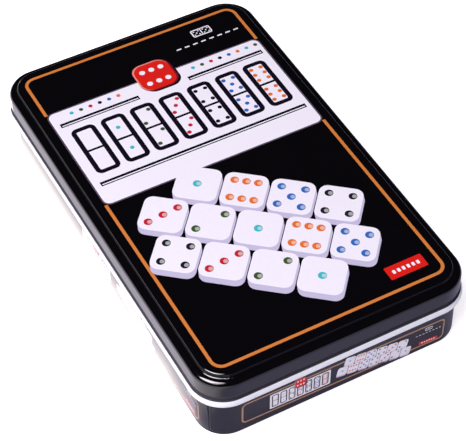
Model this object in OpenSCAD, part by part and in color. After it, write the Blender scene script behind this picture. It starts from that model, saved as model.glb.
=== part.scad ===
// Slip-lid tin that holds a double-six set of domino tiles in a formed plastic tray.
// X runs across the tin, Y along it and Z up. The origin is the middle of the underside.
// All sizes are in millimetres. With the sizes below, the closed lid measures 190 x 115 mm
// and stands 34 mm above the table.

/* [Tiles] */
// Length of a tile
tile_l = 50; // [40:0.5:60]
// Width of a tile
tile_w = 25; // [22:0.5:30]
// Thickness of a tile
tile_t = 12; // [9:0.5:14]
// Radius of a tile's corners, seen from above
tile_corner_r = 4; // [3:0.25:5]
// Rounding between a tile's faces and its sides
tile_edge_r = 2; // [1:0.25:2.75]
// Width of a pip at the surface
pip_d = 4.4; // [3:0.2:5]
// Depth of a pip
pip_depth = 0.8; // [0.4:0.1:1.2]
// Distance between neighbouring pips along the tile
pip_pitch_l = 6.2; // [5.2:0.1:7]
// Distance from the tile's middle line to an outer row of pips
pip_pitch_w = 7.2; // [5.2:0.1:7.8]
// Width of the line across the middle of a tile
divider_w = 1.6; // [1:0.1:2.4]
// Depth of that line
divider_depth = 0.5; // [0.2:0.1:1]
// Distance from the line's end to the tile's side
divider_end = 2.4; // [2:0.1:5]

/* [Tray] */
// Thickness of the tray's sheet
tray_t = 0.7; // [0.5:0.05:0.9]
// Height of the tray's rim above the floor of its pockets
tray_h = 18; // [10:0.5:22]
// Rounding at the pockets' mouths and floors
tray_r = 1; // [1:0.1:1.8]
// Distance between the two pockets
rib_w = 4; // [3.8:0.1:12]
// Width of the rim beside the pockets
rim_side_w = 2.15; // [2.1:0.05:12]
// Width of the rim at the pockets' ends
rim_end_w = 3.55; // [3.5:0.05:20]

/* [Tin] */
// Thickness of the tinplate
sheet_t = 0.3; // [0.2:0.02:0.4]
// Radius of the lid's corners, seen from above
corner_r = 13.5; // [11:0.25:13.5]
// Half the width of an edge that is folded inwards
hem_r = 0.5; // [0.45:0.01:0.6]
// Length of the straight leg behind such a fold
hem_leg = 1.2; // [0.6:0.1:2]
// Radius of the bead that the lid rests on
bead_r = 2.4; // [1.2:0.05:2.8]
// Rounding where the wall turns in under the tin
foot_r = 0.8; // [0.5:0.05:1.2]
// Width of the wall's flange under the tin
foot_w = 2.5; // [2:0.1:4]
// Height of the bottom panel above the table
bottom_recess = 1.2; // [1.1:0.05:2.5]
// Rounding of the bottom panel's raised middle
bottom_r = 0.5; // [0.4:0.02:0.6]
// Free height between the tiles and the lid's panel
head_room = 7.5; // [6.5:0.1:20]

/* [Lid] */
// Height of the lid from its panel to its lower edge
lid_depth = 10.4; // [8:0.1:14]
// Distance from the lid's side to the step round its panel
step_in = 3.5; // [3.1:0.1:5]
// Height of that step
step_h = 1.6; // [1.2:0.1:2]
// Rounding of the shoulder between the lid's top and its side
shoulder_r = 2; // [1.2:0.1:2.2]

/* [Side seam] */
// Place of the seam on its corner, in degrees from the long side
seam_turn = 38; // [30:1:60]
// Length of the wall's overlap behind the seam
seam_lap = 5; // [4:0.5:7]
// Radius of the folded edge at the seam
seam_fold_r = 0.4; // [0.3:0.05:0.5]
// Height of the folded edge above the wall
seam_proud = 0.25; // [0.15:0.05:0.3]
// Radius of the groove beside the folded edge
seam_groove_r = 0.25; // [0.2:0.05:0.3]
// Depth of that groove
seam_groove = 0.2; // [0.1:0.05:0.25]

/* [Fits] */
// Space between a tile and its neighbour or its pocket
tile_gap = 0.3; // [0.2:0.05:0.6]
// Space between the tray and the tin's folded top edge
tray_gap = 0.4; // [0.2:0.05:1]
// Space between the tin's neck and the lid's folded edge
lid_gap = 0.35; // [0.2:0.05:0.8]
// Space between the lid's lower edge and the bead
rest_gap = 0.2; // [0.1:0.05:0.4]
// Space between the top of the neck and the lid's ledge
neck_gap = 0.6; // [0.5:0.05:1.5]
// Space between the bottom panel's edge and the wall
panel_gap = 0.3; // [0.2:0.05:0.6]

/* [Hidden] */
$fn = 64;

// A double-six set has every pair of counts once, stored in two layers of two columns
most_pips = 6;
columns = 2;
layers = 2;
TILES = [for (a = [0:most_pips]) for (b = [a:most_pips]) [a, b]];
rows = len(TILES) / columns / layers;

// Pockets of the tray
pocket_w = tile_l + 2 * tile_gap;
pocket_l = rows * tile_w + (rows + 1) * tile_gap;
pocket_r = tile_corner_r + tile_gap;
pocket_x = (rib_w + pocket_w) / 2;

// Tray, neck and lid, each one outside the last
tray_w = columns * pocket_w + rib_w + 2 * rim_side_w;
tray_l = pocket_l + 2 * rim_end_w;
neck_in = 2 * hem_r + lid_gap;
tray_in = neck_in + 2 * hem_r + tray_gap;
lid_w = tray_w + 2 * tray_in;
lid_l = tray_l + 2 * tray_in;
tray_corner_r = corner_r - tray_in;
neck_w = lid_w - 2 * neck_in;
neck_l = lid_l - 2 * neck_in;
neck_r = corner_r - neck_in;

// Heights above the table
tray_z = bottom_recess + sheet_t;
pocket_z = tray_z + tray_t;
rim_z = pocket_z + tray_h;
top_z = pocket_z + layers * tile_t + head_room + sheet_t;
ledge_z = top_z - step_h;
lid_edge_z = top_z - lid_depth;
neck_top_z = ledge_z - sheet_t - neck_gap;

// The lid's folded edge and the bead are both round: the rest gap parts them along the
// line between their centres. The bead's height is rounded down to a hundredth.
bead_z = floor(100 * (lid_edge_z + hem_r
       - sqrt(pow(bead_r + hem_r + rest_gap, 2) - pow(neck_in - hem_r, 2)))) / 100;

// Sphere that cuts a pip of the given width and depth
pip_r = (pow(pip_depth, 2) + pow(pip_d / 2, 2)) / (2 * pip_depth);

// Share of the wall's overlap that lies on the left of the seam
lap_before_seam = 1 / 3;

// How far cutters run past what they cut
past = 1;

function tile_name(t) = str("domino_", t[0], "_", t[1]);

// Places of n pips on half a tile, counted in pitches from the middle of that half
function pip_places(n) = concat(
    n % 2 == 1 ? [[0, 0]] : [],
    n >= 2 ? [[-1, -1], [1, 1]] : [],
    n >= 4 ? [[-1, 1], [1, -1]] : [],
    n == 6 ? [[0, -1], [0, 1]] : []);

// The set in its order fills one stack after another, the lower tile of a stack first
function tile_place(i) =
    let (layer = i % layers, stack = floor(i / layers))
    let (column = floor(stack / rows), row = stack % rows)
    [(column - (columns - 1) / 2) * 2 * pocket_x,
     ((rows - 1) / 2 - row) * (tile_w + tile_gap),
     pocket_z + layer * tile_t];

// Flat rounded rectangle, centred
module outline(w, l, r) {
    square([w - 2 * r, l], center = true);
    square([w, l - 2 * r], center = true);
    for (x = [-1, 1], y = [-1, 1])
        translate([x * (w / 2 - r), y * (l / 2 - r)]) circle(r);
}

// Carries a profile round a rounded rectangle. The profile's x is measured outwards
// from the outline and its y is the height.
module ring(w, l, r) {
    for (side = [0:3])
        let (across = side % 2 == 0 ? w : l, along = side % 2 == 0 ? l : w)
        rotate(90 * side) {
            translate([across / 2, along / 2 - r, 0]) rotate([90, 0, 0])
                linear_extrude(along - 2 * r) children();
            translate([across / 2 - r, along / 2 - r, 0])
                rotate_extrude(angle = 90) translate([r, 0]) children();
        }
}

// Quarter of a disc, between the x axis and the y axis
module quarter_disc(r) {
    intersection() {
        circle(r);
        square(r);
    }
}

// Quarter of a round band of thickness t
module quarter_band(r, t) {
    difference() {
        quarter_disc(r);
        circle(r - t);
    }
}

// Sheet edge folded inwards, with its lowest point at the origin's height
module hem() {
    translate([-hem_r, hem_r]) {
        rotate(180) quarter_band(hem_r, sheet_t);
        rotate(270) quarter_band(hem_r, sheet_t);
    }
    translate([-2 * hem_r, hem_r]) square([sheet_t, hem_leg]);
}

// Sheet that steps down in an S, its wall's outer face at x
module step_down(x, z_high, z_low, r) {
    r_low = z_high - z_low - r;
    translate([x - r, z_high - r]) quarter_band(r, sheet_t);
    translate([x + r_low, z_high - r]) rotate(180) quarter_band(r_low + sheet_t, sheet_t);
}

// Flat piece of the sheet between two places, with its upper face at z
module flat_strip(x_in, x_out, z) {
    translate([x_in, z - sheet_t]) square([x_out - x_in, sheet_t]);
}

// Upright piece of the sheet with its outer face at x
module upright_strip(x, z_low, z_high) {
    translate([x - sheet_t, z_low]) square([sheet_t, z_high - z_low]);
}

module lid_profile() {
    step_down(-step_in, top_z, ledge_z, step_h / 2);
    flat_strip(step_h / 2 - step_in, -shoulder_r, ledge_z);
    translate([-shoulder_r, ledge_z - shoulder_r]) quarter_band(shoulder_r, sheet_t);
    upright_strip(0, lid_edge_z + hem_r, ledge_z - shoulder_r);
    translate([0, lid_edge_z]) hem();
}

module lid() {
    panel_in = step_in + step_h / 2;
    color([0.04, 0.04, 0.05]) union() {
        translate([0, 0, top_z - sheet_t]) linear_extrude(sheet_t)
            outline(lid_w - 2 * panel_in, lid_l - 2 * panel_in, corner_r - panel_in);
        ring(lid_w, lid_l, corner_r) lid_profile();
    }
}

module wall_profile() {
    bead_in_r = bead_r - sheet_t;
    flat_strip(-foot_r - foot_w, -foot_r, sheet_t);
    translate([-foot_r, foot_r]) rotate(270) quarter_band(foot_r, sheet_t);
    upright_strip(0, foot_r, bead_z - bead_in_r);
    translate([0, bead_z]) {
        quarter_band(bead_r, sheet_t);
        rotate(270) quarter_band(bead_r, sheet_t);
    }
    upright_strip(0, bead_z + bead_in_r, neck_top_z - hem_r);
    translate([0, neck_top_z]) mirror([0, 1]) hem();
}

// Puts the side seam on the corner between the front and the left side. Its own x
// points outwards through the seam, from the corner's centre.
module at_seam() {
    translate([neck_r - neck_w / 2, neck_r - neck_l / 2, 0])
        rotate(180 + seam_turn) children();
}

// Second layer of the wall behind the seam, below the bead or above it. It reaches
// halfway into the first layer, to which it is soldered.
module seam_overlap(z_low, z_high) {
    degrees = seam_lap / neck_r * 180 / PI;
    at_seam() rotate(-degrees * lap_before_seam) rotate_extrude(angle = degrees)
        translate([neck_r - 2 * sheet_t, z_low]) square([1.5 * sheet_t, z_high - z_low]);
}

module body_wall() {
    seam_top_z = bead_z - bead_r;
    groove_turn = (seam_fold_r + seam_groove_r) / neck_r * 180 / PI;
    color([0.05, 0.05, 0.06]) difference() {
        union() {
            ring(neck_w, neck_l, neck_r) wall_profile();
            seam_overlap(foot_r, seam_top_z);
            seam_overlap(bead_z + bead_r, neck_top_z - hem_r);
            at_seam() translate([neck_r + seam_proud - seam_fold_r, 0, foot_r])
                cylinder(r = seam_fold_r, h = seam_top_z + sheet_t / 2 - foot_r);
        }
        at_seam() rotate(-groove_turn)
            translate([neck_r + seam_groove_r - seam_groove, 0, foot_r])
                cylinder(r = seam_groove_r, h = seam_top_z - foot_r);
    }
}

module panel_profile() {
    flange_z = 2 * sheet_t;
    step_x = -foot_r - foot_w;
    step_r_low = bottom_recess + sheet_t - flange_z - bottom_r;
    step_down(step_x, bottom_recess + sheet_t, flange_z, bottom_r);
    flat_strip(step_x + step_r_low, -foot_r - panel_gap, flange_z);
}

module bottom_panel() {
    panel_in = foot_r + foot_w + bottom_r;
    color("silver") union() {
        translate([0, 0, bottom_recess]) linear_extrude(sheet_t)
            outline(neck_w - 2 * panel_in, neck_l - 2 * panel_in, neck_r - panel_in);
        ring(neck_w, neck_l, neck_r) panel_profile();
    }
}

module pocket_profile() {
    translate([tray_r, rim_z - tray_r]) rotate(90) quarter_band(tray_r, tray_t);
    translate([0, pocket_z + tray_r]) square([tray_t, rim_z - pocket_z - 2 * tray_r]);
    translate([-tray_r, pocket_z + tray_r]) rotate(270)
        quarter_band(tray_r + tray_t, tray_t);
}

module insert_tray() {
    color([0.12, 0.12, 0.13]) union() {
        translate([0, 0, rim_z - tray_t]) linear_extrude(tray_t) difference() {
            outline(tray_w, tray_l, tray_corner_r);
            for (side = [-1, 1]) translate([side * pocket_x, 0])
                outline(pocket_w + 2 * tray_r, pocket_l + 2 * tray_r, pocket_r + tray_r);
        }
        for (side = [-1, 1]) translate([side * pocket_x, 0, 0]) {
            ring(pocket_w, pocket_l, pocket_r) pocket_profile();
            translate([0, 0, tray_z]) linear_extrude(tray_t)
                outline(pocket_w - 2 * tray_r, pocket_l - 2 * tray_r, pocket_r - tray_r);
        }
    }
}

// Outer part of a tile's section, with both edges rounded
module tile_profile() {
    translate([-tile_edge_r, tile_edge_r]) {
        square([tile_edge_r, tile_t - 2 * tile_edge_r]);
        rotate(270) quarter_disc(tile_edge_r);
    }
    translate([-tile_edge_r, tile_t - tile_edge_r]) quarter_disc(tile_edge_r);
}

module tile_blank() {
    linear_extrude(tile_t)
        outline(tile_l - 2 * tile_edge_r, tile_w - 2 * tile_edge_r,
                tile_corner_r - tile_edge_r);
    ring(tile_l, tile_w, tile_corner_r) tile_profile();
}

// Hollow pips of half a tile, which lies on the side of the line that side gives
module pips(n, side) {
    for (p = pip_places(n))
        translate([side * tile_l / 4 + p[0] * pip_pitch_l, p[1] * pip_pitch_w,
                   tile_t + pip_r - pip_depth])
            sphere(pip_r);
}

module divider() {
    line_l = tile_w - 2 * divider_end;
    translate([-divider_w / 2, -line_l / 2, tile_t - divider_depth])
        cube([divider_w, line_l, divider_depth + past]);
}

module domino(i) {
    color([0.94, 0.92, 0.94]) translate(tile_place(i)) difference() {
        union() tile_blank();
        pips(TILES[i][0], -1);
        pips(TILES[i][1], 1);
        divider();
    }
}

lid();
body_wall();
bottom_panel();
insert_tray();
for (i = [0:len(TILES) - 1])
    domino(i);
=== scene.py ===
import math
from collections import defaultdict

import bmesh
import bpy
from mathutils import Matrix, Vector
from mathutils.geometry import convex_hull_2d


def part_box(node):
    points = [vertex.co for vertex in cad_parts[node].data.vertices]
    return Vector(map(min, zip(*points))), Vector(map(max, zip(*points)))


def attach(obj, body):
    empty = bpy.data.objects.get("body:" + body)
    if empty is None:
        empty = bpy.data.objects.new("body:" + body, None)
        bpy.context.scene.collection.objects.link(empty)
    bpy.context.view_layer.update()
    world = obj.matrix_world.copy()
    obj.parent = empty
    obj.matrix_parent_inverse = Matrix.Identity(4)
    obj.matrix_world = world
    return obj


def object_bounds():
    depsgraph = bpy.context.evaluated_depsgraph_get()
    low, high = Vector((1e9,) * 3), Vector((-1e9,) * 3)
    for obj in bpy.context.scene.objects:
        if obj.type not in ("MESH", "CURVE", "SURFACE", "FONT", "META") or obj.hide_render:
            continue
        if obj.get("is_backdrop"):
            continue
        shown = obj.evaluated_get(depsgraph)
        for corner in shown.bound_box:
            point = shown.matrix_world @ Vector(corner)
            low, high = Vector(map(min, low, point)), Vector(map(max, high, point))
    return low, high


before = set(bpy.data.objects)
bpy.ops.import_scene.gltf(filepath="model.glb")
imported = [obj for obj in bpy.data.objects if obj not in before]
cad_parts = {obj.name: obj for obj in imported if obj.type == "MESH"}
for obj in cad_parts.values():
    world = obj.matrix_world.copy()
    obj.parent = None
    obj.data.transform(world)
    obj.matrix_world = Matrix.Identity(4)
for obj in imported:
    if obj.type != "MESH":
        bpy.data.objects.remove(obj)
cad_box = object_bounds()

MM = 0.001

# The tin's sizes, in metres. The boxes come from the frame, the rest are the tin's own.
LID_LOW, LID_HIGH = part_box("lid")
TOP_Z = LID_HIGH.z
CORNER_R = 13.5 * MM
NECK_IN = 1.35 * MM
WALL_R = CORNER_R - NECK_IN
BEAD_LOW_Z = 18.73 * MM
# Painted shade: a band of dark, dull lacquer colour on top of the bead, where the lid's edge
# shades the groove
SHADE_LINE_LOW_Z = 22.75 * MM
SHADE_LINE_HIGH_Z = 23.9 * MM
HEM_TOP_Z = LID_LOW.z + 1.8 * MM
DULL_FADE = 1.0 * MM

# Every ring of the tin is drawn round one rectangle, the middles of its corner rounds
SPINE_X = LID_HIGH.x - CORNER_R
SPINE_Y = LID_HIGH.y - CORNER_R

# Hollow pips and middle line of a playing tile
PIP_R = 2.2 * MM
PIP_DEPTH = 0.8 * MM
PIP_BALL_R = (PIP_R ** 2 + PIP_DEPTH ** 2) / (2 * PIP_DEPTH)
PIP_STEP_ALONG = 6.2 * MM
PIP_STEP_ACROSS = 7.2 * MM
HALF_STEP = 12.5 * MM
LINE_SIZE = Vector((1.5, 20.1, 0.08)) * MM
LINE_DEPTH = 0.5 * MM
# The paint covers nearly all of a hollow, and lies just clear of its floor
PAINT_SHARE = 0.98
PAINT_CLEAR = 0.01 * MM
PAINT_T = 0.08 * MM

# Thickness of one layer of ink
INK_T = 0.015 * MM

# Camera of the photograph, with its lens and sensor in millimetres
LENS = 133.61
SENSOR_WIDTH = 36
AIM = Vector((-9.6, -25.5, 34.0)) * MM
CAMERA_DISTANCE = 675 * MM
CAMERA_AZIMUTH = math.radians(-27.23)
CAMERA_ELEVATION = math.radians(47.48)
CAMERA_ROLL = math.radians(-1.36)

# Colours of the inks, linear
INKS = {
    "white": (0.89, 0.825, 0.955),
    "black": (0.006, 0.004, 0.012),
    "orange": (0.63, 0.195, 0.045),
    "bronze": (0.42, 0.22, 0.12),
    "red": (0.70, 0.014, 0.010),
    "dark_red": (0.20, 0.006, 0.014),
    "pink": (0.80, 0.25, 0.22),
    "lilac": (0.56, 0.50, 0.72),
    "dusk": (0.10, 0.075, 0.115),
    "cyan": (0.040, 0.47, 0.55),
    "green": (0.045, 0.085, 0.025),
    "crimson": (0.55, 0.012, 0.035),
    "navy": (0.014, 0.012, 0.024),
    "blue": (0.030, 0.13, 0.50),
    "amber": (0.78, 0.15, 0.022),
}
# Ink of the pips, by how many there are in one half of a tile
PIP_INKS = ("white", "cyan", "green", "crimson", "navy", "blue", "amber")
# Each has a pale tint as well, for the glint in a printed pip
PALE_SHARE = 0.42
PALE_WHITE = 0.9
INKS.update({name + "_pale": tuple(c + PALE_SHARE * (PALE_WHITE - c) for c in INKS[name])
             for name in PIP_INKS})


def link_to_scene(thing):
    bpy.context.scene.collection.objects.link(thing)
    return thing


def make_piece(name, bm, material, body):
    """Turns a bmesh into a piece of the tin, which rides on a body."""
    mesh = bpy.data.meshes.new(name)
    bm.to_mesh(mesh)
    bm.free()
    mesh.materials.append(material)
    piece = link_to_scene(bpy.data.objects.new(name, mesh))
    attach(piece, body)
    return piece


# Shader nodes
def add_node(tree, kind, inputs=None, **settings):
    """Adds a node with its settings, and links or sets the inputs that are named."""
    made = tree.nodes.new(kind)
    for name, value in settings.items():
        setattr(made, name, value)
    for key, value in (inputs or {}).items():
        if isinstance(value, bpy.types.NodeSocket):
            tree.links.new(value, made.inputs[key])
        else:
            made.inputs[key].default_value = value
    return made


def math_node(tree, operation, a, b=0.0):
    return add_node(tree, "ShaderNodeMath", {0: a, 1: b}, operation=operation).outputs[0]


def vector_node(tree, operation, a, b=(0.0, 0.0, 0.0)):
    return add_node(tree, "ShaderNodeVectorMath", {0: a, 1: b}, operation=operation)


def mix_colours(tree, share, a, b):
    made = add_node(tree, "ShaderNodeMix", data_type="RGBA")
    for key, value in ((0, share), (6, a), (7, b)):
        if isinstance(value, bpy.types.NodeSocket):
            tree.links.new(value, made.inputs[key])
        else:
            made.inputs[key].default_value = value if key == 0 else (*value, 1)
    return made.outputs[2]


def mix_values(tree, share, a, b):
    return add_node(tree, "ShaderNodeMix", {0: share, 2: a, 3: b}, data_type="FLOAT").outputs[0]


def remap(tree, value, low, high, to_low, to_high):
    return add_node(tree, "ShaderNodeMapRange",
                    {0: value, 1: low, 2: high, 3: to_low, 4: to_high}).outputs[0]


def new_group(name, inputs, output):
    """Empty node group with number inputs and one output, and its two ends."""
    group = bpy.data.node_groups.new(name, "ShaderNodeTree")
    for label, value in inputs.items():
        socket = group.interface.new_socket(label, in_out="INPUT", socket_type="NodeSocketFloat")
        socket.default_value = value
    group.interface.new_socket(output, in_out="OUTPUT", socket_type="NodeSocketFloat")
    return group, group.nodes.new("NodeGroupInput"), group.nodes.new("NodeGroupOutput")


def place_group(tree, name, **values):
    made = add_node(tree, "ShaderNodeGroup", node_tree=GROUPS[name])
    for label, value in values.items():
        made.inputs[label].default_value = value
    return made.outputs[0]


def group_outer_face():
    """1 on the sheet's outer face and 0 on its inner one, told from the way the surface faces."""
    group, _, end = new_group("outer_face", {}, "Mask")
    coords = add_node(group, "ShaderNodeTexCoord")
    spine = Vector((SPINE_X, SPINE_Y, 1.0))
    held = vector_node(group, "MINIMUM", coords.outputs["Object"], spine).outputs[0]
    held = vector_node(group, "MAXIMUM", held, -spine).outputs[0]
    away = vector_node(group, "SUBTRACT", coords.outputs["Object"], held).outputs[0]
    away = vector_node(group, "NORMALIZE", away).outputs[0]
    facing = vector_node(group, "DOT_PRODUCT", away, coords.outputs["Normal"]).outputs["Value"]
    up = add_node(group, "ShaderNodeSeparateXYZ", {0: coords.outputs["Normal"]}).outputs["Z"]
    group.links.new(math_node(group, "GREATER_THAN", math_node(group, "ADD", facing, up), 0.0),
                    end.inputs[0])
    return group


def noise_group(name, scale, stretch=(1.0, 1.0, 1.0), low=0.0, high=1.0, **settings):
    """Group that gives noise on Object coordinates, from 0 to 1 between low and high."""
    group, start, end = new_group(name, {"Scale": scale}, "Mask")
    coords = add_node(group, "ShaderNodeTexCoord")
    place = vector_node(group, "MULTIPLY", coords.outputs["Object"], stretch).outputs[0]
    noise = add_node(group, "ShaderNodeTexNoise",
                     {"Vector": place, "Scale": start.outputs["Scale"], **settings})
    group.links.new(remap(group, noise.outputs["Fac"], low, high, 0.0, 1.0), end.inputs[0])
    return group


GROUPS = {
    "outer_face": group_outer_face(),
    # Uneven height of a lacquered sheet or of moulded plastic
    "wobble": noise_group("wobble", 500.0, Detail=2.0),
    # Faint smears that handling leaves in a gloss surface
    "smears": noise_group("smears", 40.0, low=0.45, high=0.75, Detail=6.0, Distortion=0.4),
    # Fine speckle of printed ink
    "grain": noise_group("grain", 3000.0, low=0.35, high=0.65, Detail=1.0),
    # Fine straight lines that rolling leaves along a sheet of tinplate
    "rolled": noise_group("rolled", 1.0, (4000.0, 60.0, 60.0), 0.3, 0.7, Detail=3.0),
}

# Colours of the materials, linear
TIN_COLOUR = (0.84, 0.82, 0.88)
MATTE_TIN = (0.90, 0.885, 0.99)
LACQUER_BLACK = (0.0020, 0.0016, 0.0026)
# Dull lacquer of the lid's hem; on the wall the same dark colour is painted shade on top of the
# bead
DULL_LACQUER_AND_SHADE = (0.022, 0.018, 0.034)
TILE_WHITE = (0.86, 0.83, 0.88)
TRAY_BLACK = (0.018, 0.018, 0.020)
# Share of a colour that is left in a rolled line, a speckle of ink and a smear on plastic
ROLLED_SHADE = 0.92
SPECKLE_SHADE = 0.95
SMEAR_SHADE = 0.96

# Bare tinplate shines as a metal, and hardly does where rolling has left it matte
BARE_METALLIC = 0.85
MATTE_METALLIC = 0.15
# Roughness of the finishes. A pair goes from clean or flat places to smeared or rolled ones.
LACQUER_ROUGHNESS = (0.06, 0.11)
INK_ROUGHNESS = (0.09, 0.15)
BARE_ROUGHNESS = (0.30, 0.40)
TILE_ROUGHNESS = (0.16, 0.24)
TRAY_ROUGHNESS = (0.28, 0.36)
MATTE_ROUGHNESS = 0.45
DULL_ROUGHNESS = 0.85
# Depth of the waves in lacquer and ink, of the rolled lines and of the waves in plastic
LACQUER_WAVE_DEPTH = 0.006 * MM
ROLLED_DEPTH = 0.002 * MM
PLASTIC_WAVE_DEPTH = 0.01 * MM
# Scale of the smears and of the waves on plastic
PLASTIC_SMEARS = 60.0
TILE_WAVES = 250.0
TRAY_WAVES = 300.0


def new_material(name):
    material = bpy.data.materials.new(name)
    material.use_nodes = True
    tree = material.node_tree
    return material, tree, tree.nodes["Principled BSDF"]


def give_bump(tree, shader, height, distance):
    bump = add_node(tree, "ShaderNodeBump", {"Height": height, "Distance": distance})
    tree.links.new(bump.outputs[0], shader.inputs["Normal"])


def darker(colour, share):
    return tuple(share * c for c in colour)


def rolled_tin(tree):
    """Colour and roughness of bare tinplate, and the rolled lines that both follow."""
    rolled = place_group(tree, "rolled")
    colour = mix_colours(tree, rolled, darker(TIN_COLOUR, ROLLED_SHADE), TIN_COLOUR)
    return colour, remap(tree, rolled, 0.0, 1.0, *BARE_ROUGHNESS), rolled


def smeared(tree, roughness):
    """Roughness of a gloss surface, a little higher where handling has left smears."""
    return remap(tree, place_group(tree, "smears"), 0.0, 1.0, *roughness)


def lacquered_tin(name, find_masks):
    """Gloss black lacquer on one face of the tinplate and bare metal on the rest."""
    material, tree, shader = new_material(name)
    lacquer, matte, dull_and_shade = find_masks(tree)
    bare, bare_rough, _ = rolled_tin(tree)
    metal = mix_colours(tree, matte, bare, MATTE_TIN)
    # On the wall this mask is painted shade: a dark band on top of the bead, under the lid's edge
    black = mix_colours(tree, dull_and_shade, LACQUER_BLACK, DULL_LACQUER_AND_SHADE)
    tree.links.new(mix_colours(tree, lacquer, metal, black), shader.inputs["Base Color"])
    metallic = mix_values(tree, matte, BARE_METALLIC, MATTE_METALLIC)
    tree.links.new(mix_values(tree, lacquer, metallic, 0.0), shader.inputs["Metallic"])
    metal_rough = mix_values(tree, matte, bare_rough, MATTE_ROUGHNESS)
    black_rough = mix_values(tree, dull_and_shade, smeared(tree, LACQUER_ROUGHNESS), DULL_ROUGHNESS)
    tree.links.new(mix_values(tree, lacquer, metal_rough, black_rough), shader.inputs["Roughness"])
    give_bump(tree, shader, place_group(tree, "wobble"), LACQUER_WAVE_DEPTH)
    return material


def object_height(tree):
    coords = add_node(tree, "ShaderNodeTexCoord")
    return add_node(tree, "ShaderNodeSeparateXYZ", {0: coords.outputs["Object"]}).outputs["Z"]


def lid_masks(tree):
    """Lacquer on the outer face and on the hem, where that face is folded inwards.

    The fold has left the lacquer dull. No tinplate is matte."""
    height = object_height(tree)
    hem = math_node(tree, "LESS_THAN", height, HEM_TOP_Z)
    lacquer = math_node(tree, "MAXIMUM", place_group(tree, "outer_face"), hem)
    return lacquer, 0.0, remap(tree, height, HEM_TOP_Z - DULL_FADE, HEM_TOP_Z, 1.0, 0.0)


def wall_masks(tree):
    """Lacquer on the outer face below the bead, and a band of dark lacquer colour on top of the
    bead, which is painted shade under the lid's edge.

    Rolling has left the bead matte."""
    height = object_height(tree)
    outer = place_group(tree, "outer_face")
    below = math_node(tree, "LESS_THAN", height, BEAD_LOW_Z)
    # Painted shade: dark lacquer colour on top of the bead, under the lid's edge
    over = math_node(tree, "GREATER_THAN", height, SHADE_LINE_LOW_Z)
    painted_shade_line = math_node(tree, "MULTIPLY", over, math_node(tree, "LESS_THAN", height, SHADE_LINE_HIGH_Z))
    lacquer = math_node(tree, "MULTIPLY", outer, math_node(tree, "ADD", below, painted_shade_line))
    matte = math_node(tree, "MULTIPLY", outer, math_node(tree, "LESS_THAN", height, SHADE_LINE_HIGH_Z))
    return lacquer, matte, painted_shade_line


def bare_tin():
    material, tree, shader = new_material("tinplate")
    colour, rough, rolled = rolled_tin(tree)
    shader.inputs["Metallic"].default_value = BARE_METALLIC
    tree.links.new(colour, shader.inputs["Base Color"])
    tree.links.new(rough, shader.inputs["Roughness"])
    give_bump(tree, shader, rolled, ROLLED_DEPTH)
    return material


def moulded_plastic(name, colour, roughness, waves):
    material, tree, shader = new_material(name)
    smears = place_group(tree, "smears", Scale=PLASTIC_SMEARS)
    tree.links.new(mix_colours(tree, smears, colour, darker(colour, SMEAR_SHADE)),
                   shader.inputs["Base Color"])
    tree.links.new(remap(tree, smears, 0.0, 1.0, *roughness), shader.inputs["Roughness"])
    give_bump(tree, shader, place_group(tree, "wobble", Scale=waves), PLASTIC_WAVE_DEPTH)
    return material


def ink(name, colour):
    material, tree, shader = new_material("ink_" + name)
    speckled = mix_colours(tree, place_group(tree, "grain"), darker(colour, SPECKLE_SHADE), colour)
    tree.links.new(speckled, shader.inputs["Base Color"])
    tree.links.new(smeared(tree, INK_ROUGHNESS), shader.inputs["Roughness"])
    give_bump(tree, shader, place_group(tree, "wobble"), LACQUER_WAVE_DEPTH)
    return material


INK_MATERIALS = {name: ink(name, colour) for name, colour in INKS.items()}


def finish_nodes():
    """Gives the CAD pieces their finishes."""
    tile = moulded_plastic("tile_plastic", TILE_WHITE, TILE_ROUGHNESS, TILE_WAVES)
    finishes = {
        "lid": lacquered_tin("lid_lacquer", lid_masks),
        "body_wall": lacquered_tin("wall_lacquer", wall_masks),
        "bottom_panel": bare_tin(),
        "insert_tray": moulded_plastic("tray_plastic", TRAY_BLACK, TRAY_ROUGHNESS, TRAY_WAVES),
    }
    for name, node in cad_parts.items():
        node.data.materials.clear()
        node.data.materials.append(finishes.get(name, tile))


# Flat shapes of the prints, in millimetres
def plate(width, length, corner=0.0):
    shape = bmesh.new()
    bmesh.ops.create_grid(shape, x_segments=1, y_segments=1, size=0.5)
    bmesh.ops.scale(shape, vec=(width, length, 1), verts=shape.verts)
    if corner:
        bmesh.ops.bevel(shape, geom=shape.verts[:], offset=corner, offset_type="OFFSET",
                        segments=6, profile=0.5, affect="VERTICES", material=-1)
    return shape


def outline(width, length, corner, line):
    """Line round a rounded rectangle, inside its edge."""
    shape = plate(width, length, corner)
    middle = shape.faces[:]
    bmesh.ops.inset_region(shape, faces=middle, thickness=line, use_boundary=True,
                           use_even_offset=True)
    bmesh.ops.delete(shape, geom=middle, context="FACES")
    return shape


def disc(radius):
    shape = bmesh.new()
    bmesh.ops.create_circle(shape, cap_ends=True, radius=radius, segments=14)
    return shape


def turned(shape, angle):
    bmesh.ops.rotate(shape, cent=(0, 0, 0), matrix=Matrix.Rotation(angle, 3, "Z"),
                     verts=shape.verts)
    return shape


def swept(shape, way):
    """The shape and its copy moved by way, with all between them, as one flat face."""
    points = [v.co.xy for v in shape.verts]
    points += [p + Vector(way) for p in points]
    shape.clear()
    shape.faces.new([shape.verts.new((*points[i], 0)) for i in convex_hull_2d(points)])
    return shape


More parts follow.
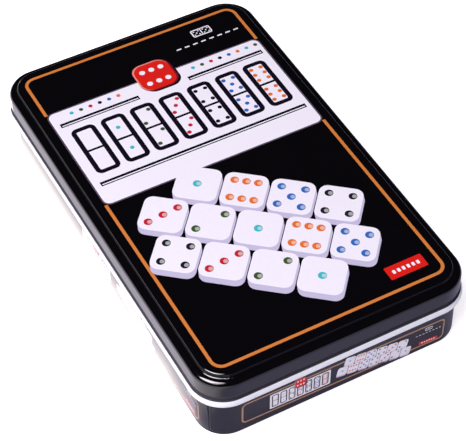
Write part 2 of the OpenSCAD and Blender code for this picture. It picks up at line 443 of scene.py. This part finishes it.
class PrintedSheet:
    """Flat print, drawn round a middle that can be moved and tilted, one mesh for each ink."""

    def __init__(self):
        self.meshes = defaultdict(bmesh.new)
        self.middle = Vector((0, 0))
        self.tilt = 0.0

    def stamp(self, part, ink_name, shape, centre, layer, turn=0.0):
        spot = self.middle + Matrix.Rotation(self.tilt, 2) @ Vector(centre)
        place = Matrix.Translation((*spot, layer)) @ Matrix.Rotation(self.tilt + turn, 4, "Z")
        bmesh.ops.transform(shape, matrix=place, verts=shape.verts)
        mesh = bpy.data.meshes.new("stamp")
        shape.to_mesh(mesh)
        shape.free()
        self.meshes[part, ink_name].from_mesh(mesh)
        bpy.data.meshes.remove(mesh)

    def lay(self, body, place_of, cuts=()):
        """Cuts the print where it will bend, gives it its thickness and lays it on the tin."""
        for (part, ink_name), bm in self.meshes.items():
            for cut in cuts:
                bmesh.ops.bisect_plane(bm, geom=bm.verts[:] + bm.edges[:] + bm.faces[:],
                                       plane_co=(cut, 0, 0), plane_no=(1, 0, 0))
            raised = bmesh.ops.extrude_face_region(bm, geom=bm.faces[:])
            upper = [v for v in raised["geom"] if isinstance(v, bmesh.types.BMVert)]
            bmesh.ops.translate(bm, vec=(0, 0, 1), verts=upper)
            for v in bm.verts:
                v.co = place_of(v.co.x * MM, v.co.y * MM, v.co.z * INK_T)
            bmesh.ops.recalc_face_normals(bm, faces=bm.faces[:])
            make_piece(f"{part}_{ink_name}", bm, INK_MATERIALS[ink_name], body)


def on_lid(x, y, height):
    return Vector((x, y, TOP_Z + height))


# The wall is one strip, so its print is drawn flat along it, from the middle of the front
CORNER_ARC = WALL_R * math.pi / 2
SIDE_HALVES = (SPINE_X, SPINE_Y, SPINE_X, SPINE_Y)
SIDE_STEP = SPINE_X + SPINE_Y + CORNER_ARC
# Degrees between the cuts that let the print bend round a corner
BEND_STEP = 5


def on_wall(along, z, out):
    """Place on the wall, given by the way round it from the middle of the front."""
    way = (along + SPINE_X) % (4 * SIDE_STEP)
    side = 0
    while way > 2 * SIDE_HALVES[side] + CORNER_ARC:
        way -= 2 * SIDE_HALVES[side] + CORNER_ARC
        side += 1
    turn = Matrix.Rotation(side * math.pi / 2, 3, "Z")
    ahead, outward = turn @ Vector((1, 0, 0)), turn @ Vector((0, -1, 0))
    half, across = SIDE_HALVES[side], SIDE_HALVES[side - 1]
    straight = min(way, 2 * half)
    bend = (way - straight) / WALL_R
    place = ahead * (straight - half) + outward * across
    place += (outward * math.cos(bend) + ahead * math.sin(bend)) * (WALL_R + out)
    place.z = z
    return place


def corner_cuts():
    """Where the flat strip is cut, at even steps round each corner, in millimetres."""
    steps = [WALL_R * math.radians(BEND_STEP * i) for i in range(90 // BEND_STEP + 1)]
    ends = [side * SIDE_STEP + half for side, half in enumerate(SIDE_HALVES)]
    places = [end + step for end in ends for step in steps]
    return [(p - 4 * SIDE_STEP if p > 3.5 * SIDE_STEP else p) / MM for p in places]


def pip_steps(count):
    """Places of the pips on a square face, in steps along and across from its middle."""
    places = [(0, 0)] if count % 2 else []
    if count >= 2:
        places += [(-1, -1), (1, 1)]
    if count >= 4:
        places += [(-1, 1), (1, -1)]
    if count == 6:
        places += [(0, -1), (0, 1)]
    return places


# An upright tile in a row, in shares of its width or length. Its divider is a share of its line.
ROW_CORNER = 0.25
ROW_DIVIDER = 0.55
ROW_HALF = 0.235
ROW_PIP_R = 0.088
ROW_PIP_ACROSS = 0.21
ROW_PIP_ALONG = 0.125


def print_tile_row(sheet, part, middle, pitch, size, line, layer):
    """Seven upright tiles in outline, with nought to six pips in each half."""
    width, length = size
    for count in range(7):
        centre = Vector(middle) + Vector(((count - 3) * pitch, 0))
        edge = outline(width, length, width * ROW_CORNER, line)
        sheet.stamp(part + "_tiles", "black", edge, centre, layer)
        divider = plate(width - 2 * line, line * ROW_DIVIDER)
        sheet.stamp(part + "_tiles", "black", divider, centre, layer)
        for half in (-1, 1):
            for px, py in pip_steps(count):
                pip = centre + Vector((py * ROW_PIP_ACROSS * width,
                                       (half * ROW_HALF + px * ROW_PIP_ALONG) * length))
                sheet.stamp(part + "_pips", PIP_INKS[count], disc(width * ROW_PIP_R), pip, layer)


# The glint in a hollow pip, in shares of the pip's radius
GLINT_PLACE = Vector((0.28, -0.20))
GLINT_R = 0.55


def print_hollow_pip(sheet, part, ink_name, radius, centre, layer):
    """A pip with a pale glint low on its right."""
    sheet.stamp(part + "_pips", ink_name, disc(radius), centre, layer)
    glint = centre + radius * GLINT_PLACE
    sheet.stamp(part + "_glints", ink_name + "_pale", disc(radius * GLINT_R), glint, layer + 1)


# A block with pips, in shares of its size
BLOCK_STEP = 1.07
BLOCK_CORNER = 0.2
BLOCK_SIDE = Vector((-0.06, -0.15))
BLOCK_PIP_STEP = 0.27
BLOCK_PIP_R = 0.1


def print_blocks(sheet, part, middle, rows, size, turn, layer):
    """Blocks with pips, set in rows like bricks, with their shaded sides."""
    along = Vector((math.cos(turn), math.sin(turn)))
    across = Vector((-along.y, along.x))
    step = size * BLOCK_STEP
    corner = size * BLOCK_CORNER
    number = 0
    for row, blocks in enumerate(rows):
        for i in range(blocks):
            place = Vector(middle) + step * (across * ((len(rows) - 1) / 2 - row)
                                             + along * (i - (blocks - 1) / 2))
            side = swept(turned(plate(size, size, corner), turn), size * BLOCK_SIDE)
            sheet.stamp(part + "_sides", "lilac", side, place, layer)
            sheet.stamp(part, "white", plate(size, size, corner), place, layer + 1, turn)
            count = number * 5 % 6 + 1
            for px, py in pip_steps(count):
                pip = place + BLOCK_PIP_STEP * size * (along * px + across * py)
                print_hollow_pip(sheet, part, PIP_INKS[count], size * BLOCK_PIP_R, pip, layer + 2)
            number += 1


# The badge, in shares of its size: its corners, shadow, bright edge, face and pips
BADGE_CORNER = 0.3
BADGE_SHADOW_PLACE = Vector((0.05, -0.05))
BADGE_SHINE = 0.96
BADGE_SHINE_PLACE = Vector((-0.02, 0.02))
BADGE_FACE = 0.92
BADGE_FACE_LENGTH = 0.93
BADGE_PIP_ALONG = 0.25
BADGE_PIP_ACROSS = 0.22
BADGE_PIP_R = 0.075


def print_badge(sheet, part, middle, size, layer):
    """A plain red block with six white pips and a dark shadow."""
    middle = Vector(middle)
    corner = size * BADGE_CORNER
    shine = size * BADGE_SHINE
    face = plate(size * BADGE_FACE, size * BADGE_FACE_LENGTH, corner * BADGE_FACE)
    sheet.stamp(part + "_shadow", "black", plate(size, size, corner),
                middle + size * BADGE_SHADOW_PLACE, layer)
    sheet.stamp(part + "_side", "dark_red", plate(size, size, corner), middle, layer + 1)
    sheet.stamp(part + "_shine", "pink", plate(shine, shine, corner * BADGE_SHINE),
                middle + size * BADGE_SHINE_PLACE, layer + 2)
    sheet.stamp(part, "red", face, middle, layer + 3)
    for px, py in pip_steps(6):
        pip = middle + size * Vector((px * BADGE_PIP_ALONG, py * BADGE_PIP_ACROSS))
        sheet.stamp(part + "_pips", "white", disc(size * BADGE_PIP_R), pip, layer + 4)


# The count mark's tile, in shares of its width
MARK_LENGTH = 0.5
MARK_CORNER = 1 / 12
MARK_LINE = 1 / 16
MARK_DIVIDER = (0.05, 0.4)
MARK_HALF = 0.24
MARK_PIP_STEP = 0.12
MARK_PIP_R = 0.04
# Its dashes: how many there are, how far below they lie, and their shares of their pitch
MARK_DASHES = 8
MARK_DASH_DROP = 0.64
MARK_DASH = (0.56, 0.17)


def print_count_mark(sheet, part, middle, width, dashes, layer):
    """A small white tile over a row of dashes."""
    middle = Vector(middle)
    edge = outline(width, width * MARK_LENGTH, width * MARK_CORNER, width * MARK_LINE)
    sheet.stamp(part, "white", edge, middle, layer)
    sheet.stamp(part, "white", plate(*[width * share for share in MARK_DIVIDER]), middle, layer)
    for side in (-1, 1):
        for px, py in pip_steps(5):
            pip = middle + width * Vector((side * MARK_HALF + px * MARK_PIP_STEP,
                                           py * MARK_PIP_STEP))
            sheet.stamp(part, "white", disc(width * MARK_PIP_R), pip, layer)
    pitch = dashes / MARK_DASHES
    for i in range(MARK_DASHES):
        spot = middle + Vector((pitch * (i - (MARK_DASHES - 1) / 2), -width * MARK_DASH_DROP))
        dash = plate(*[pitch * share for share in MARK_DASH])
        sheet.stamp(part + "_dashes", "white", dash, spot, layer)


# The sticker: how many dashes it has, and their shares of its width and height
STICKER_DASHES = 6
STICKER_PITCH = 0.13
STICKER_DASH = (0.075, 0.28)
STICKER_CORNER = 1 / 14
STICKER_DASH_CORNER = 1 / 16


def print_sticker(sheet, part, middle, size, turn, layer):
    """A red strip with a row of short white dashes."""
    width, height = size
    ahead = Vector((math.cos(turn), math.sin(turn)))
    strip = plate(width, height, height * STICKER_CORNER)
    sheet.stamp(part, "red", strip, middle, layer, turn)
    for i in range(STICKER_DASHES):
        spot = Vector(middle) + ahead * width * STICKER_PITCH * (i - (STICKER_DASHES - 1) / 2)
        dash = plate(width * STICKER_DASH[0], height * STICKER_DASH[1],
                     height * STICKER_DASH_CORNER)
        sheet.stamp(part + "_dashes", "white", dash, spot, layer + 1, turn)


# The lid's print, in millimetres from the middle of the lid

# The line round the lid
LID_LINE_SIZE = (100.5, 175.5)
LID_LINE_R = 5.0
LID_LINE_WIDTH = 1.35
# The label, with the blurred edge that shows round it
LABEL_MIDDLE = (0.0, 34.7)
LABEL_SIZE = (98.8, 57.4)
LABEL_R = 2.8
LABEL_BLUR = 0.65
# Double rules on the label: left end, right end and place up the lid
LID_RULES = ((-46.8, -10.8, 55.7), (12.4, 47.8, 55.7), (-46.5, 47.6, 17.7))
THICK_RULE = 1.25
THIN_RULE = 0.55
THIN_RULE_DROP = 1.45
RULE_END = (0.6, 1.1)
RULE_END_DROP = 0.9
# Rows of dots beside the badge: left end and number
DOT_ROWS = ((-39.5, 6), (17.2, 8))
DOT_PITCH = 4.3
DOT_Y = 60.3
DOT_R = 0.9
# The row of tiles, the badge, the count mark, the blocks and the sticker
LID_TILES_MIDDLE = (0.3, 36.6)
LID_TILE_PITCH = 13.3
LID_TILE_SIZE = (10.8, 28.2)
LID_TILE_LINE = 2.1
LID_BADGE_MIDDLE = (1.1, 64.0)
LID_BADGE_SIZE = 17.2
LID_COUNT_MIDDLE = (31.0, 79.3)
LID_COUNT_WIDTH = 9.2
LID_COUNT_DASHES = 31.5
LID_BLOCKS_MIDDLE = (-3.0, -34.0)
LID_BLOCK_ROWS = (4, 5, 4)
LID_BLOCK_SIZE = 17.8
LID_BLOCK_TURN = math.radians(-40)
LID_STICKER_MIDDLE = (36.6, -78.5)
LID_STICKER_SIZE = (16.4, 6.5)
LID_STICKER_TURN = 0.0


def print_lid_line(sheet):
    """The line round the lid, left out where the label covers it."""
    shape = outline(*LID_LINE_SIZE, LID_LINE_R, LID_LINE_WIDTH)
    low = LABEL_MIDDLE[1] - LABEL_SIZE[1] / 2
    high = LABEL_MIDDLE[1] + LABEL_SIZE[1] / 2
    for y in (low, high):
        bmesh.ops.bisect_plane(shape, geom=shape.verts[:] + shape.edges[:] + shape.faces[:],
                               plane_co=(0, y, 0), plane_no=(0, 1, 0))
    covered = [f for f in shape.faces if low < f.calc_center_median().y < high]
    bmesh.ops.delete(shape, geom=covered, context="FACES")
    sheet.stamp("lid_line", "orange", shape, (0, 0), 0)


def print_lid_label(sheet):
    width, length = LABEL_SIZE
    blur = plate(width + 2 * LABEL_BLUR, length + 2 * LABEL_BLUR, LABEL_R + LABEL_BLUR)
    sheet.stamp("lid_label_edge", "dusk", blur, LABEL_MIDDLE, 0)
    sheet.stamp("lid_label", "white", plate(width, length, LABEL_R), LABEL_MIDDLE, 1)
    for left, right, y in LID_RULES:
        middle = (left + right) / 2
        sheet.stamp("lid_rules", "black", plate(right - left, THICK_RULE), (middle, y), 2)
        sheet.stamp("lid_rules", "black", plate(right - left, THIN_RULE),
                    (middle, y - THIN_RULE_DROP), 2)
        for end in (left + RULE_END[0] / 2, right - RULE_END[0] / 2):
            sheet.stamp("lid_rules", "black", plate(*RULE_END), (end, y - RULE_END_DROP), 2)
    for left, count in DOT_ROWS:
        for i in range(count):
            ink_name = PIP_INKS[i % 6 + 1]
            sheet.stamp("lid_dots", ink_name, disc(DOT_R), (left + DOT_PITCH * i, DOT_Y), 2)
    print_tile_row(sheet, "lid", LID_TILES_MIDDLE, LID_TILE_PITCH, LID_TILE_SIZE,
                   LID_TILE_LINE, 2)
    print_badge(sheet, "lid_badge", LID_BADGE_MIDDLE, LID_BADGE_SIZE, 3)


def print_lid():
    sheet = PrintedSheet()
    print_lid_line(sheet)
    print_lid_label(sheet)
    print_count_mark(sheet, "lid_count", LID_COUNT_MIDDLE, LID_COUNT_WIDTH, LID_COUNT_DASHES, 0)
    print_blocks(sheet, "lid_blocks", LID_BLOCKS_MIDDLE, LID_BLOCK_ROWS, LID_BLOCK_SIZE,
                 LID_BLOCK_TURN, 8)
    print_sticker(sheet, "lid_sticker", LID_STICKER_MIDDLE, LID_STICKER_SIZE, LID_STICKER_TURN, 0)
    sheet.lay("lid", on_lid)


# The wall's print, in millimetres. Each side has its own print, with its middle at this height
WALL_PRINT_Z = 9.05
# Shift of that middle along the side, tilt and width of the line, places of label and blocks
SHORT_SIDE = {"shift": 1.7, "tilt": math.radians(-1.16), "width": 89.4, "label_x": -19.6,
              "blocks_x": 13.4}
LONG_SIDE = {"shift": 0.0, "tilt": math.radians(-0.3), "width": 168.0, "label_x": -5.0,
             "blocks_x": 31.0}
# Sizes that all sides share, with places up the side from the print's middle
WALL_LINE_HEIGHT = 11.5
WALL_LINE_R = 2.2
WALL_LINE_WIDTH = 0.75
WALL_LABEL_SIZE = (26.2, 8.4)
WALL_LABEL_R = 0.5
WALL_LABEL_Y = 0.1
WALL_TILE_PITCH = 3.6
WALL_TILE_SIZE = (2.9, 7.0)
WALL_TILE_LINE = 0.45
WALL_BADGE_Y = 4.4
WALL_BADGE_SIZE = 5.2
WALL_BLOCKS_Y = 0.2
WALL_BLOCK_ROWS = (6, 7)
WALL_BLOCK_SIZE = 4.5
WALL_BLOCK_TURN = math.radians(-9)
# The count mark and the sticker are placed from the right end of the line
WALL_COUNT_PLACE = (-7.5, 3.5)
WALL_COUNT_WIDTH = 3.2
WALL_COUNT_DASHES = 12.0
WALL_STICKER_PLACE = (-7.2, -3.9)
WALL_STICKER_SIZE = (8.4, 1.7)
WALL_STICKER_TURN = math.radians(-3)


def print_wall_side(sheet, width, label_x, blocks_x):
    """The small print of one side: line, label, blocks, count mark and sticker."""
    line = outline(width, WALL_LINE_HEIGHT, WALL_LINE_R, WALL_LINE_WIDTH)
    label_middle = (label_x, WALL_LABEL_Y)
    right_end = Vector((width / 2, 0))
    sheet.stamp("wall_line", "bronze", line, (0, 0), 0)
    sheet.stamp("wall_label", "white", plate(*WALL_LABEL_SIZE, WALL_LABEL_R), label_middle, 0)
    print_tile_row(sheet, "wall", label_middle, WALL_TILE_PITCH, WALL_TILE_SIZE,
                   WALL_TILE_LINE, 1)
    print_badge(sheet, "wall_badge", (label_x, WALL_BADGE_Y), WALL_BADGE_SIZE, 2)
    print_blocks(sheet, "wall_blocks", (blocks_x, WALL_BLOCKS_Y), WALL_BLOCK_ROWS,
                 WALL_BLOCK_SIZE, WALL_BLOCK_TURN, 0)
    print_count_mark(sheet, "wall_count", right_end + Vector(WALL_COUNT_PLACE),
                     WALL_COUNT_WIDTH, WALL_COUNT_DASHES, 0)
    print_sticker(sheet, "wall_sticker", right_end + Vector(WALL_STICKER_PLACE),
                  WALL_STICKER_SIZE, WALL_STICKER_TURN, 0)


def print_wall():
    sheet = PrintedSheet()
    for number, side in enumerate((SHORT_SIDE, LONG_SIDE, SHORT_SIDE, LONG_SIDE)):
        sheet.middle = Vector((number * SIDE_STEP / MM + side["shift"], WALL_PRINT_Z))
        sheet.tilt = side["tilt"]
        print_wall_side(sheet, side["width"], side["label_x"], side["blocks_x"])
    sheet.lay("tin", on_wall, corner_cuts())


# Paint in the hollows of the playing tiles
def pip_paint():
    """Thin bowl of paint for a hollow pip, with its rim at the origin's height."""
    bowl = bmesh.new()
    centre = Vector((0, 0, PIP_BALL_R - PIP_DEPTH))
    lowest = bowl.verts.new((0, 0, -PIP_DEPTH + PAINT_CLEAR))
    reach = math.asin(PAINT_SHARE * PIP_R / PIP_BALL_R)
    bmesh.ops.spin(bowl, geom=[lowest], cent=centre, axis=(0, 1, 0), angle=-reach, steps=5)
    bmesh.ops.spin(bowl, geom=bowl.edges[:], cent=(0, 0, 0), axis=(0, 0, 1), angle=math.tau,
                   steps=18, use_merge=True)
    bmesh.ops.remove_doubles(bowl, verts=bowl.verts[:], dist=0.001 * MM)
    bmesh.ops.recalc_face_normals(bowl, faces=bowl.faces[:])
    bmesh.ops.solidify(bowl, geom=bowl.faces[:], thickness=PAINT_T)
    bmesh.ops.recalc_face_normals(bowl, faces=bowl.faces[:])
    return bowl


def line_paint():
    line = bmesh.new()
    bmesh.ops.create_cube(line, size=1)
    bmesh.ops.scale(line, vec=LINE_SIZE, verts=line.verts)
    height = LINE_SIZE.z / 2 - LINE_DEPTH + PAINT_CLEAR
    bmesh.ops.translate(line, vec=(0, 0, height), verts=line.verts)
    return line


def add_copy(target, shape, place):
    mesh = bpy.data.meshes.new("copy")
    shape.to_mesh(mesh)
    mesh.transform(Matrix.Translation(place))
    target.from_mesh(mesh)
    bpy.data.meshes.remove(mesh)


def paint_tiles():
    """Coloured pips and dark middle lines, one mesh of each colour for the whole set."""
    coats = defaultdict(bmesh.new)
    bowl, line = pip_paint(), line_paint()
    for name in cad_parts:
        if not name.startswith("domino_"):
            continue
        low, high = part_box(name)
        top = Vector(((low.x + high.x) / 2, (low.y + high.y) / 2, high.z))
        add_copy(coats["tile_lines", "navy"], line, top)
        for side, count in zip((-1, 1), name.split("_")[1:]):
            for along, across in pip_steps(int(count)):
                step = Vector((side * HALF_STEP + along * PIP_STEP_ALONG,
                               across * PIP_STEP_ACROSS, 0))
                add_copy(coats["tile_pips", PIP_INKS[int(count)]], bowl, top + step)
    for (part, colour), coat in coats.items():
        make_piece(f"{part}_{colour}", coat, INK_MATERIALS[colour], "tin")


# Studio
KEY_PLACE = Vector((-0.50, -0.18, 0.85))
KEY_SIZE = (0.75, 0.60)
KEY_POWER = 9.6
GLOSS_PLACE = Vector((-0.38, -0.04, 0.95))
GLOSS_SIZE = (0.50, 0.62)
GLOSS_POWER = 19.0
GLOSS_COLOUR = (1.0, 0.93, 1.0)
FILL = (0.35, 0.35, 0.36)
DARK_ROOM = (0.012, 0.012, 0.013)
WHITE_ROOM = (1.0, 1.0, 1.0)

# The floor as the camera sees it, and as the gloss of the tin does
FLOOR_HALF = 3
FLOOR_Z = -0.05 * MM
FLOOR_COLOUR = (0.92, 0.92, 0.93)
FLOOR_SEEN_IN_GLOSS = (0.53, 0.50, 0.72)
FLOOR_LIGHT = 0.62
FLOOR_LIGHT_COLOUR = (1.0, 0.95, 1.0)
GLOW_COLOUR = (1.0, 0.91, 0.84)
# The glow grows over this stretch left of the lid's side, and fills the floor beyond it
WIDE_GLOW = 1.1
WIDE_START_X = LID_LOW.x - 2.5 * MM
WIDE_FULL_X = LID_LOW.x - 14.5 * MM
# A strip beside and under the tin's side is brighter, most of all near the far end
STRIP_START_X = LID_LOW.x - 22 * MM
STRIP_FULL_X = LID_LOW.x + 1.5 * MM
STRIP_END_X = LID_LOW.x + 8 * MM
STRIP_SHARPNESS = 6.0
STRIP_GLOW = 4.3
STRIP_START_Y = LID_LOW.y + 4 * MM
STRIP_FULL_Y = LID_LOW.y + 42 * MM
STRIP_BACK = 1.3


def make_camera():
    camera = link_to_scene(bpy.data.objects.new("camera", bpy.data.cameras.new("camera")))
    camera.data.lens = LENS
    camera.data.sensor_width = SENSOR_WIDTH
    back = Vector((math.sin(CAMERA_AZIMUTH) * math.cos(CAMERA_ELEVATION),
                   -math.cos(CAMERA_AZIMUTH) * math.cos(CAMERA_ELEVATION),
                   math.sin(CAMERA_ELEVATION)))
    roll = Matrix.Rotation(CAMERA_ROLL, 3, "Z").to_quaternion()
    camera.rotation_mode = "QUATERNION"
    camera.rotation_quaternion = (-back).to_track_quat("-Z", "Y") @ roll
    camera.location = AIM + back * CAMERA_DISTANCE
    camera.data.clip_start = 10 * MM
    camera.data.clip_end = 20
    bpy.context.scene.camera = camera


def make_softbox(name, place, size, power):
    """A large softbox, high on the left."""
    light = bpy.data.lights.new(name, "AREA")
    light.shape = "RECTANGLE"
    light.size, light.size_y = size
    light.energy = power
    lamp = link_to_scene(bpy.data.objects.new(name, light))
    lamp.location = place
    lamp.rotation_mode = "QUATERNION"
    lamp.rotation_quaternion = (-place).to_track_quat("-Z", "Y")
    return lamp


def make_lights():
    """The key light, and a brighter one near it that only gloss surfaces pick up."""
    make_softbox("key_softbox", KEY_PLACE, KEY_SIZE, KEY_POWER)
    gloss = make_softbox("gloss_softbox", GLOSS_PLACE, GLOSS_SIZE, GLOSS_POWER)
    gloss.visible_diffuse = False
    gloss.data.color = GLOSS_COLOUR


def floor_glow(tree):
    """Light on the floor along the left side, which only the gloss of the tin picks up."""
    coords = add_node(tree, "ShaderNodeTexCoord")
    place = add_node(tree, "ShaderNodeSeparateXYZ", {0: coords.outputs["Object"]})
    x, y = place.outputs["X"], place.outputs["Y"]
    wide = remap(tree, x, WIDE_START_X, WIDE_FULL_X, 0.0, WIDE_GLOW)
    near = remap(tree, x, STRIP_START_X, STRIP_FULL_X, 0.0, 1.0)
    strip = math_node(tree, "MULTIPLY", math_node(tree, "POWER", near, STRIP_SHARPNESS),
                      math_node(tree, "LESS_THAN", x, STRIP_END_X))
    beside = remap(tree, y, STRIP_START_Y, STRIP_FULL_Y, 0.0, STRIP_GLOW)
    back = remap(tree, y, 0.0, LID_HIGH.y, 1.0, STRIP_BACK)
    strip = math_node(tree, "MULTIPLY", strip, math_node(tree, "MULTIPLY", beside, back))
    return math_node(tree, "ADD", wide, strip)


def make_floor():
    bm = bmesh.new()
    bmesh.ops.create_grid(bm, x_segments=1, y_segments=1, size=FLOOR_HALF)
    bmesh.ops.translate(bm, vec=(0, 0, FLOOR_Z), verts=bm.verts)
    mesh = bpy.data.meshes.new("floor")
    bm.to_mesh(mesh)
    bm.free()
    material, tree, shader = new_material("pale_floor")
    path = add_node(tree, "ShaderNodeLightPath")
    in_gloss = path.outputs["Is Glossy Ray"]
    tree.links.new(mix_colours(tree, in_gloss, FLOOR_COLOUR, FLOOR_SEEN_IN_GLOSS),
                   shader.inputs["Base Color"])
    shader.inputs["Roughness"].default_value = 0.9
    shader.inputs["Specular IOR Level"].default_value = 0.0
    tree.links.new(mix_colours(tree, in_gloss, FLOOR_LIGHT_COLOUR, GLOW_COLOUR),
                   shader.inputs["Emission Color"])
    seen = math_node(tree, "MULTIPLY", path.outputs["Is Camera Ray"], FLOOR_LIGHT)
    mirrored = math_node(tree, "MULTIPLY", in_gloss, floor_glow(tree))
    tree.links.new(math_node(tree, "ADD", seen, mirrored), shader.inputs["Emission Strength"])
    material.cycles.emission_sampling = "NONE"
    mesh.materials.append(material)
    link_to_scene(bpy.data.objects.new("floor", mesh))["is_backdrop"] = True


def make_world():
    """Even fill from a pale room, which the gloss surfaces see as dark."""
    world = bpy.data.worlds.new("studio")
    world.use_nodes = True
    tree = world.node_tree
    path = add_node(tree, "ShaderNodeLightPath")
    seen = mix_colours(tree, path.outputs["Is Diffuse Ray"], DARK_ROOM, FILL)
    seen = mix_colours(tree, path.outputs["Is Camera Ray"], seen, WHITE_ROOM)
    tree.links.new(seen, tree.nodes["Background"].inputs["Color"])
    bpy.context.scene.world = world
    bpy.context.scene.view_settings.view_transform = "Standard"


make_camera()
make_world()
make_floor()
make_lights()
finish_nodes()
print_lid()
print_wall()
paint_tiles()

low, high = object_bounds()
{"cad": [list(cad_box[0]), list(cad_box[1])], "visual": [list(low), list(high)]}
